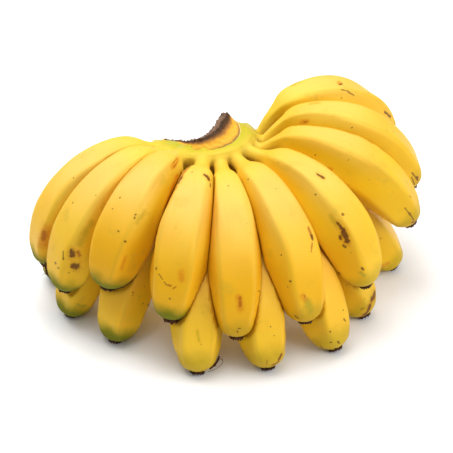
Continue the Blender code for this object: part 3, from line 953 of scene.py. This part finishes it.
# %% The pad's sections
CROWN_SECTIONS = {
    -172: ((33, -15), (35, -2.5), (31.5, -1.7), (30.5, -0.8), (29, -1.3), (26, -7), (26, -16), (30, -19)),
    -150: ((34, -17), (35.5, -0.3), (22, -0.8), (19.5, -0.3), (18.5, -0.8), (16.5, -7), (17, -18), (25, -21)),
    -123: ((34, -18), (36, 2), (23.4, 1.6), (20.4, 3.8), (19, 3.4), (15.5, -4), (16, -19), (25, -23)),
    -98: ((34, -18), (36.3, 2.8), (28, 3), (21.7, 8.3), (19.5, 8), (14.5, -2), (15, -20), (25, -24)),
    -68: ((34, -18), (36.3, 3.4), (29.6, 5.4), (18.8, 12), (14, 12), (12, 1), (14, -20), (25, -24)),
    -40: ((33.5, -17), (35.3, 3.4), (27.6, 7.3), (14.4, 13), (9.8, 13), (10.5, 2), (14, -20), (24, -24)),
    -18: ((32, -17), (33, 2.8), (23.5, 8), (14, 13.5), (9.8, 14), (11, 2), (15, -19), (24, -23)),
    6: ((30, -17), (31, 0.5), (19.3, 8.3), (15.2, 14), (12, 14.3), (12.5, 3), (16, -18), (23, -21)),
    28: ((29, -17), (31, -2), (23, -0.5), (19.5, 1), (17, 0), (16, -6), (18, -16), (23, -20)),
    44: ((27, -15), (28, -7), (24, -4), (22, -3.5), (20, -4), (19, -8), (20, -14), (23, -17)),
}
CORNERS = 8
CUT_FOOT, CUT_TOP, CUT_BACK = 2, 3, 4
STEPS_PER_SIDE = 4
OPEN_SIDE = 116
END_ROUNDING = 0.0035
END_TURN = 7


def section_weights():
    """How much each corner counts at each point of the section's outline, and the points' stations.

    Between two corners the outline is a cubic that leaves and arrives along the line through the
    corners before and after. At the crisp corners of the cut it runs straight instead. A station of
    2.5 is halfway from corner 2 to corner 3.
    """
    crisp = (CUT_FOOT, CUT_TOP, CUT_BACK)
    corner = np.eye(CORNERS)
    rows, stations = [], []
    for i in range(CORNERS):
        before, start, end, after = (corner[(i + k) % CORNERS] for k in (-1, 0, 1, 2))
        leave = end - start if i in crisp else 0.5 * (end - before)
        arrive = end - start if (i + 1) % CORNERS in crisp else 0.5 * (after - start)
        for u in np.arange(STEPS_PER_SIDE) / STEPS_PER_SIDE:
            rows.append(between(u, start, end, leave, arrive))
            stations.append(i + u)
    return np.array(rows), np.array(stations)


SECTION_WEIGHTS, SECTION_STATIONS = section_weights()
SECTION_ANGLES = np.array(list(CROWN_SECTIONS), float)
SECTION_CORNERS = np.array(list(CROWN_SECTIONS.values()), float) * MILLIMETRE
print("points on a section's outline:", len(SECTION_STATIONS))


# %% Distance to the pad
LIP = 0.0004


def round_the_stalk(points):
    """Each point's angle round the stalk in degrees, its distance from the axis and its height."""
    offset = points - STALK_CENTRE
    angle = np.degrees(np.arctan2(offset[:, 1], offset[:, 0]))
    angle = np.where(angle > OPEN_SIDE, angle - 360, angle)
    return angle, np.hypot(offset[:, 0], offset[:, 1]), offset[:, 2]


def corners_at(angle):
    """The section's corners at angles round the stalk, as (distance or height, angle, corner)."""
    values = SECTION_CORNERS.transpose(2, 1, 0)
    rows = [[smooth_through(angle, list(zip(SECTION_ANGLES, c))) for c in v] for v in values]
    return np.array(rows).swapaxes(1, 2)


def pad_distance(points):
    """How far points are outside the pad, the station of its nearest point, and the cut's depth there.

    The distance is measured in the section at the point's angle. Beyond the first and the last
    angle, the way round the stalk counts as well, which rounds the pad's two ends.
    """
    angle, distance, height = round_the_stalk(points)
    held = np.clip(angle, SECTION_ANGLES[0] + END_TURN, SECTION_ANGLES[-1] - END_TURN)
    beyond = distance * np.radians(np.abs(angle - held))
    corners = corners_at(held)
    here = np.stack([distance, height])
    start = corners @ SECTION_WEIGHTS.T
    side = np.roll(start, -1, axis=2) - start
    miss = here[:, :, None] - start
    along = np.clip((miss * side).sum(axis=0) / (side * side).sum(axis=0), 0, 1)
    apart = ((miss - side * along) ** 2).sum(axis=0)
    nearest = apart.argmin(axis=1)
    rows = np.arange(len(points))
    crosses = (start[1] > height[:, None]) != (np.roll(start[1], -1, axis=1) > height[:, None])
    slope = side[0] / np.where(np.abs(side[1]) < 1e-9, 1e-9, side[1])
    inside = (crosses & (miss[0] < slope * miss[1])).sum(axis=1) % 2 == 1
    flat = np.sqrt(apart[rows, nearest]) * np.where(inside, -1, 1)
    rounded = np.hypot(np.maximum(flat + END_ROUNDING, 0), beyond) - END_ROUNDING
    station = SECTION_STATIONS[nearest] + along[rows, nearest] / STEPS_PER_SIDE
    foot, top = corners[:, :, CUT_FOOT], corners[:, :, CUT_TOP]
    way = (top - foot) / np.linalg.norm(top - foot, axis=0)
    above = (here[0] - foot[0]) * way[1] - (here[1] - foot[1]) * way[0]
    cut = np.minimum(above, foot[0] + LIP - here[0])
    return np.where(beyond > 0, rounded, flat), station, cut


# %% [markdown]
# ## Blending the necks into the pad
#
# Distances are blended by adding their exponentials: -k log(sum of exp(-distance / k)). With a large
# k the web between two necks is deep, and with a small one it is a crease. The web is widest at the
# pad and gone six millimetres from it. Away from the pad the necks are a hair thinner than the fingers'
# own skins, so they pass under them without a step.

# %% Distance to the crown
NECK_ENDS_AT = 0.017
NECK_SPHERES = 13
NECK_UNDER = 0.00006
NECK_TAPER = 0.0004
WEB_AT_PAD = 0.0017
WEB_AT_NECK = 0.00025
WEB_REACH = 0.0065
CHUNK = 12000

neck_runs = np.linspace(0, NECK_ENDS_AT, NECK_SPHERES)
neck_centres, neck_radii = [], []
for finger in fingers.values():
    neck_centres.append(interpolate(neck_runs / finger.length, finger.line.share, finger.line.points))
    thinner = NECK_UNDER + NECK_TAPER * step(neck_runs, 0.8 * NECK_ENDS_AT, NECK_ENDS_AT)
    neck_radii.append(finger.thickness(neck_runs / finger.length) - thinner)
neck_centres, neck_radii = np.concatenate(neck_centres), np.concatenate(neck_radii)


def crown_distance(points):
    """How far points are outside the crown: pad and necks blended, without what the knife took."""
    values = np.empty(len(points))
    for i in range(0, len(points), CHUNK):
        part = points[i : i + CHUNK]
        pad, _, cut = pad_distance(part)
        necks = distances(part, neck_centres) - neck_radii
        necks = necks.reshape(len(part), -1, NECK_SPHERES).min(axis=2)
        web = WEB_AT_NECK + (WEB_AT_PAD - WEB_AT_NECK) * (1 - step(pad, 0.0005, WEB_REACH))
        every = np.hstack([pad[:, None], necks])
        least = every.min(axis=1)
        sums = np.exp(-(every - least[:, None]) / web[:, None]).sum(axis=1)
        values[i : i + CHUNK] = np.maximum(least - web * np.log(sums), cut)
    return values


# %% [markdown]
# ## From a distance to a mesh
#
# A grid of small cubes finds the surface: where a cube has corners on both sides of it, the mesh gets
# a point, and where an edge of the grid crosses it, the four cubes round that edge share a face. The
# points then slide along the distance's slope until they lie on the surface. Far cubes are left out
# with a coarse grid first, which saves nine tenths of the work.

# %% Surface from a distance
NET_SPACING = 0.00065
COARSE = 4
SLOPE_STEP = 0.00005
SLIDES = 2
RELAXING = 2


def grid_points(low, counts, spacing):
    """The points of a box-shaped grid, as rows."""
    axes = [low[a] + spacing * np.arange(counts[a]) for a in range(3)]
    return np.stack(np.meshgrid(*axes, indexing="ij"), -1).reshape(-1, 3)


def field_on_grid(distance, low, high):
    """The distance at the grid's points; far from the surface a coarse value stands in."""
    blocks = np.ceil((high - low) / (NET_SPACING * COARSE)).astype(int)
    middle = low + 0.5 * NET_SPACING * (COARSE - 1)
    rough = distance(grid_points(middle, blocks, NET_SPACING * COARSE)).reshape(blocks)
    for axis in range(3):
        rough = rough.repeat(COARSE, axis=axis)
    field = rough.ravel().copy()
    close = np.abs(field) < NET_SPACING * COARSE * 1.1
    points = grid_points(low, rough.shape, NET_SPACING)
    field[close] = distance(points[close])
    return field.reshape(rough.shape)


def slid(distance, points):
    """The points moved along the distance's slope by the distance."""
    here = distance(points)
    slope = np.stack([distance(points + s) - here for s in SLOPE_STEP * np.eye(3)], -1) / SLOPE_STEP
    steep = np.maximum((slope**2).sum(axis=1), 0.2)
    return points - slope * (here / steep)[:, None]


def neighbour_means(points, faces):
    """For every point, the mean of the points that share an edge with it."""
    ends = np.concatenate([faces[:, [i, (i + 1) % 4]] for i in range(4)])
    sums = np.stack([np.bincount(ends[:, 0], column[ends[:, 1]], len(points)) for column in points.T], -1)
    return sums / np.bincount(ends[:, 0], minlength=len(points))[:, None]


def surface_net(distance, low, high):
    """The closed surface where the distance is 0, as points and four-sided faces."""
    field = field_on_grid(distance, low, high)
    inside = field < 0
    halves = (slice(0, -1), slice(1, None))
    corners = [inside[i, j, k] for i in halves for j in halves for k in halves]
    count = np.sum(corners, axis=0)
    mixed = (count > 0) & (count < 8)
    index = np.full(mixed.shape, -1)
    index[mixed] = np.arange(mixed.sum())
    points = low + NET_SPACING * (np.argwhere(mixed) + 0.5)
    faces = []
    for axis in range(3):
        other, third = (axis + 1) % 3, (axis + 2) % 3
        here, there = np.moveaxis(inside, axis, 0)[:-1], np.moveaxis(inside, axis, 0)[1:]
        cell = np.argwhere(np.moveaxis(here != there, 0, axis))
        leaves = np.moveaxis(here, 0, axis)[tuple(cell.T)]
        ring = []
        for back_other, back_third in ((1, 1), (0, 1), (0, 0), (1, 0)):
            shift = np.zeros(3, int)
            shift[other], shift[third] = back_other, back_third
            ring.append(index[tuple((cell - shift).T)])
        quads = np.stack(ring, -1)
        faces.append(np.where(leaves[:, None], quads, quads[:, ::-1]))
    faces = np.concatenate(faces)
    for _ in range(SLIDES):
        points = slid(distance, points)
    for _ in range(RELAXING):
        points = slid(distance, 0.5 * points + 0.5 * neighbour_means(points, faces))
    return points, faces


REACH_OUT = np.array((0.048, 0.048, 0.0))
BELOW, ABOVE = np.array((0, 0, 0.030)), np.array((0, 0, 0.026))
crown_points, crown_faces = surface_net(
    crown_distance, STALK_CENTRE - REACH_OUT - BELOW, STALK_CENTRE + REACH_OUT + ABOVE
)
print("crown points:", len(crown_points), "faces:", len(crown_faces))
off = np.abs(crown_distance(crown_points))
print("off the surface, mm:", round(1000 * off.mean(), 4), "at most", round(1000 * off.max(), 3))

# %% [markdown]
# ## What the crown's points know
#
# The crown's colours follow its section: green skin, a beige rim where the knife went in, the tan
# flesh of the cut with a thin dark line at its foot, a black dried edge at its top, and behind it the
# torn grey-brown fibres that faced the stalk. Each point of the mesh carries its station, so that the
# material can tell them apart, and how far it lies in a hollow, because the hollows between the necks
# get painted shade. Small relief is added where the flesh has dried.

# %% The crown's piece
FIBRE_DEPTH = 0.00045
EDGE_RAGGED = 0.0006
FLESH_RELIEF = 0.00018
HOLLOW_REACH = 0.0028


def ripples(points, wavelength, seed, stretch=(1, 1, 1), waves=16):
    """Smooth noise about -1 to 1 high: a sum of plane waves in random directions."""
    random = np.random.default_rng(seed)
    ways = unit(random.normal(size=(waves, 3))) * random.uniform(0.6, 1.6, (waves, 1))
    phases = random.uniform(0, 2 * math.pi, waves)
    turns = points @ (ways * stretch * 2 * math.pi / wavelength).T + phases
    return np.sin(turns).sum(axis=1) / math.sqrt(waves)


def crown_facts(points):
    """Each point's station on the section, less where it is off the pad, and its place along a neck."""
    stations, runs = [], []
    for i in range(0, len(points), CHUNK):
        part = points[i : i + CHUNK]
        pad, station, _ = pad_distance(part)
        nearest = (distances(part, neck_centres) - neck_radii).argmin(axis=1)
        run = neck_runs[nearest % NECK_SPHERES]
        off_pad = np.clip(np.abs(pad) / 0.001, 0, 1)
        behind = 3 * off_pad * step(run, 0.001, 0.004)
        stations.append(np.where(station < CUT_TOP, station - off_pad, station + behind))
        runs.append(run)
    return np.concatenate(stations), np.concatenate(runs)


def crown_relief(points, station):
    """How far the dried parts stand out: torn fibres behind the cut, a ragged edge, dimpled flesh."""
    behind = step(station, 2.95, 3.3) * (1 - step(station, 5.9, 6.4))
    fibres = ripples(points, 0.0022, 5, stretch=(1, 1, 0.2)) + 0.6 * ripples(points, 0.0011, 6, (1, 1, 0.3))
    edge = np.exp(-(((station - 3.05) / 0.12) ** 2))
    flesh = step(station, 2.1, 2.3) * (1 - step(station, 2.8, 3.0))
    relief = FIBRE_DEPTH * behind * fibres + EDGE_RAGGED * edge * ripples(points, 0.004, 7)
    return relief + FLESH_RELIEF * flesh * ripples(points, 0.0035, 8)


crown_station, crown_run = crown_facts(crown_points)
aside = SLOPE_STEP * np.eye(3)
slopes = [crown_distance(crown_points + s) - crown_distance(crown_points - s) for s in aside]
crown_normals = unit(np.stack(slopes, -1))
crown_points = crown_points + crown_normals * crown_relief(crown_points, crown_station)[:, None]
crown_smoothed = crown_points
for _ in range(round((HOLLOW_REACH / NET_SPACING) ** 2)):
    crown_smoothed = neighbour_means(crown_smoothed, crown_faces)
crown_hollow = ((crown_smoothed - crown_points) * crown_normals).sum(axis=1) / MILLIMETRE
print("hollows, mm:", np.percentile(crown_hollow, (1, 50, 90, 99)).round(2))
nothing = np.zeros((len(crown_points), 1))
crown_values = {"straight": crown_points, "share": nothing, "edge": nothing, "pushed": nothing}
for key, values in (("hollow", crown_hollow), ("station", crown_station), ("run", crown_run)):
    crown_values[key] = values[:, None]

# %% [markdown]
# ## The crown's material
#
# Away from the cut the crown has the same skin as the fingers' necks, from the same group, so the
# colour runs on without a seam. The rest is a ramp of colours along the station. Noise moves the
# ramp's borders, because flesh does not dry along a ruled line.

# %% The crown's material
CUT_COLOURS = (
    (1.86, (0.72, 0.58, 0.17)),
    (1.97, (0.66, 0.42, 0.16)),
    (2.03, (0.16, 0.075, 0.020)),
    (2.09, (0.58, 0.29, 0.035)),
    (2.22, (0.80, 0.44, 0.045)),
    (2.48, (0.76, 0.37, 0.030)),
    (2.64, (0.36, 0.15, 0.035)),
    (2.80, (0.075, 0.030, 0.015)),
    (3.02, (0.040, 0.020, 0.014)),
    (3.20, (0.165, 0.082, 0.052)),
    (3.60, (0.265, 0.155, 0.105)),
    (4.10, (0.170, 0.110, 0.085)),
    (4.80, (0.300, 0.190, 0.095)),
    (5.70, (0.330, 0.215, 0.090)),
    (6.10, (0.230, 0.150, 0.060)),
)
RAMP_START, RAMP_END = 1.8, 6.4


def crown_material():
    """The peel's own skin, with the cut and the fibres behind it mixed in by station."""
    made, tree, shader = new_material("crown_skin", 0.55, WAX_TINT)
    skin = tree.node("ShaderNodeGroup", {"Specks": 0.5, "Dried At": 1.0}, node_tree=PEEL)
    place = tree.place()
    station = tree.attribute("station")
    wobble = tree.moved(station, tree.noise(place, 260, 4, 0.6), 0.22)
    along = tree.math("DIVIDE", tree.math("SUBTRACT", wobble, RAMP_START), RAMP_END - RAMP_START)
    ramp = tree.node("ShaderNodeValToRGB", {"Fac": along})
    stops = ramp.color_ramp.elements
    while len(stops) < len(CUT_COLOURS):
        stops.new(0.5)
    for stop, (at, colour) in zip(stops, CUT_COLOURS):
        stop.position = (at - RAMP_START) / (RAMP_END - RAMP_START)
        stop.color = (*colour, 1)
    fibres = tree.noise(tree.scaled(place, (1, 1, 0.25)), 900, 3, 0.6)
    dried = tree.ranged(wobble, 2.9, 3.2)
    streaks = tree.times(tree.ranged(fibres, 0.42, 0.62), dried)
    cut = tree.mixed(tree.times(streaks, 0.5), ramp.outputs["Color"], (0.055, 0.032, 0.024))
    pores = tree.ranged(tree.noise(place, 1400, 2), 0.60, 0.72, 0.0, 0.35)
    cut = tree.mixed(pores, cut, (0.30, 0.13, 0.03))
    past_skin, before_skin = tree.ranged(wobble, 1.80, 1.92), tree.ranged(wobble, 6.10, 6.35, 1.0, 0.0)
    on_cut = tree.times(past_skin, before_skin)
    # Painted shade: the deeper a point lies in a hollow between the necks, the more it is mixed towards a
    # dark olive.
    hollow = tree.math("MULTIPLY_ADD", tree.noise(place, 300, 2), 0.2, tree.attribute("hollow"))
    shaded = tree.mixed(tree.ranged(hollow, 0.20, 0.75, 0.0, 0.85), skin.outputs["Color"], PAINTED_HOLLOW_SHADE)
    colour = tree.mixed(on_cut, shaded, cut)
    rough = tree.math("ADD", skin.outputs["Roughness"], tree.times(on_cut, 0.25))
    height = tree.math("MULTIPLY_ADD", tree.times(on_cut, fibres), 0.0005, skin.outputs["Height"])
    tree.wire(shader, {"Base Color": colour, "Roughness": rough, "Normal": tree.bumped(height)})
    return made


crown_piece = new_piece(
    "crown_flesh", crown_points, crown_faces.tolist(), crown_values, crown_material(), "crown_skin", "crown"
)
print("triangles on the crown:", 2 * len(crown_piece.data.polygons))

# %% [markdown]
# ## The remains of the flowers
#
# A banana hangs upside down as it grows, with its flower at the free end. What is left of it is a
# dark dried scar with a ragged rim, and sometimes a thread or a curl of petal. On a real fruit it is
# only two millimetres high. Each one is a profile carried round the tip's axis: up the outside, over
# the torn rim, down into a shallow cup, and out again along the stub of the style. Those that hang
# free are taller than those that the hand stands on.

# %% The flower scars
SCAR_RINGS = 34
SCAR_COLUMNS = 60
HANGING_TALLER = 1.6
SCAR_PROFILE = (
    (-0.6, 0.55), (-0.5, 1.00), (0.2, 1.12), (0.9, 1.07), (1.5, 0.99), (1.9, 0.88),
    (1.6, 0.72), (1.0, 0.55), (0.9, 0.30), (1.7, 0.24), (2.6, 0.20), (2.8, 0.10),
)


def turned_noise(around, count, random):
    """A closed wavy line round a circle: a sum of cosines with random phases, about -1 to 1."""
    lobes = random.integers(2, 17, count)
    phases = random.uniform(0, 2 * math.pi, count)
    return np.cos(around[..., None] * lobes + phases).sum(axis=-1) / math.sqrt(count)


def make_scar(finger):
    """The dried flower scar at the tip of one finger."""
    random = finger.random
    row, around = round_grid(np.linspace(0, 1, SCAR_RINGS), SCAR_COLUMNS)
    height, width = np.array(SCAR_PROFILE).T
    at = np.linspace(0, 1, len(height))
    outside = 1 - step(row, 0.45, 0.75)
    tall = random.uniform(0.45, 0.75) * (1 if "lower" in finger.name else HANGING_TALLER)
    jagged = turned_noise(around, 9, random) * step(row, 0.22, 0.42) * outside
    upper_rim = turned_noise(around, 8, random) * (1 - step(row, 0.15, 0.30))
    up = MILLIMETRE * tall * (np.interp(row, at, height) + 0.65 * jagged + 0.5 * upper_rim)
    skin = finger.thickness(np.array(finger.ends_at))
    reach = skin * np.interp(row, at, width) * (1 + 0.05 * turned_noise(around, 10, random))
    lean = random.uniform(-0.0006, 0.0006, 2) * step(row, 0.7, 1.0)[..., None]
    line = finger.line
    start = interpolate(np.array(finger.ends_at), line.share, line.points)
    out, side, along = line.out[-3], line.side[-3], np.cross(line.out[-3], line.side[-3])
    points = start + up[..., None] * along
    points = points + (reach * np.cos(around) + lean[..., 0])[..., None] * out
    points = points + (reach * np.sin(around) + lean[..., 1])[..., None] * side
    points[..., 2] = np.maximum(points[..., 2], 0.0)
    return points


def dried_material():
    """Nearly black, patchy and rough, with a brownish gleam."""
    made, tree, shader = new_material("dried_flower", 0.8, (0.9, 0.5, 0.35))
    place = tree.place()
    patches = tree.noise(place, 700, 4, 0.6)
    colour = tree.mixed(tree.ranged(patches, 0.40, 0.62), (0.022, 0.008, 0.005), (0.090, 0.036, 0.016))
    tree.wire(shader, {"Base Color": colour, "Normal": tree.bumped(patches, 0.0006, 0.9)})
    return made


DRIED = dried_material()
lowest = []
for name, finger in fingers.items():
    scar = with_ends(make_scar(finger))
    lowest.append(1000 * scar[:, 2].min())
    new_piece(name + "_scar", scar, tube_faces(SCAR_RINGS, SCAR_COLUMNS), {}, DRIED, "dried_flower")
print("lowest point of each scar, mm:", [round(z, 1) for z in lowest])

# %% [markdown]
# ## Threads
#
# A few styles and petals have stayed on as dark threads. Each is a thin tube through a few places
# near its own tip: a share of the length, an angle, and how far it stands off the skin. That
# distance and the thread's own radius are in millimetres.

# %% The threads
THREAD_COLUMNS = 10
THREADS = {
    "finger_upper_02_thread": (
        0.45,
        ((0.985, 30, 0.1), (0.955, 38, 0.5), (0.925, 41, 0.8), (0.90, 42, 1.0)),
    ),
    "finger_upper_02_petal": (
        0.85,
        ((0.925, 41, 0.9), (0.905, 42, 1.0), (0.89, 41, 0.9), (0.87, 40, 0.5)),
    ),
    "finger_upper_02_fork": (
        0.20,
        ((0.94, 39, 0.6), (0.925, 44, 2.0), (0.93, 48, 4.2), (0.945, 50, 6.0)),
    ),
    "finger_upper_03_thread": (
        0.70,
        ((0.985, -95, 0.1), (0.95, -108, 0.4), (0.91, -113, 0.4), (0.87, -115, 0.1)),
    ),
    "finger_upper_04_thread": (
        0.75,
        ((0.985, -70, 0.2), (0.96, -80, 0.7), (0.935, -87, 1.0), (0.91, -92, 1.3), (0.89, -95, 1.7)),
    ),
    "finger_upper_04_curl": (
        0.22,
        ((0.90, -94, 1.4), (0.88, -96, 2.6), (0.88, -96, 4.2), (0.90, -96, 4.8), (0.91, -96, 3.6)),
    ),
    "finger_lower_04_stub": (
        0.95,
        ((0.975, -72, 0.3), (0.955, -80, 1.0), (0.935, -85, 1.3), (0.92, -87, 1.2)),
    ),
    "finger_lower_04_loop": (
        0.20,
        ((0.93, -87, 1.3), (0.935, -90, 3.6), (0.955, -92, 5.6), (0.98, -92, 5.6), (0.995, -90, 3.0)),
    ),
}


def cut_corners(corners, times=4):
    """A smooth path: each time, every corner gives way to two points, a quarter along its edges."""
    path = np.array(corners)
    for _ in range(times):
        near, far = 0.75 * path[:-1] + 0.25 * path[1:], 0.25 * path[:-1] + 0.75 * path[1:]
        path = np.vstack([path[:1], np.stack([near, far], 1).reshape(-1, 3), path[-1:]])
    return path


def make_thread(name, width, places):
    """A tube round a path, thinner towards its end and a little uneven."""
    finger = fingers[name.rsplit("_", 1)[0]]
    share, degrees, off = np.array(places, float).T
    centre, way, reach = finger.free_skin(share, np.radians(degrees))
    path = cut_corners(centre + way * (reach + off * MILLIMETRE)[:, None])
    along = unit(np.gradient(path, axis=0))
    first = unit(np.cross(along, unit(np.cross(path[-1] - path[0], path[len(path) // 2] - path[0]))))
    second = np.cross(along, first)
    down, around = round_grid(np.linspace(0, 1, len(path)), THREAD_COLUMNS)
    uneven = 1 + 0.18 * np.sin(23 * down + 2 * around) + 0.12 * np.sin(41 * down)
    thick = width * MILLIMETRE * uneven * (1 - 0.45 * down)
    points = path[:, None] + (thick * np.cos(around))[..., None] * first[:, None]
    points = points + (thick * np.sin(around))[..., None] * second[:, None]
    points[..., 2] = np.maximum(points[..., 2], 0.0)
    return points


for name, (width, places) in THREADS.items():
    grid = make_thread(name, width, places)
    new_piece(name, with_ends(grid), tube_faces(len(grid), THREAD_COLUMNS), {}, DRIED, "dried_flower")
print("threads:", len(THREADS))
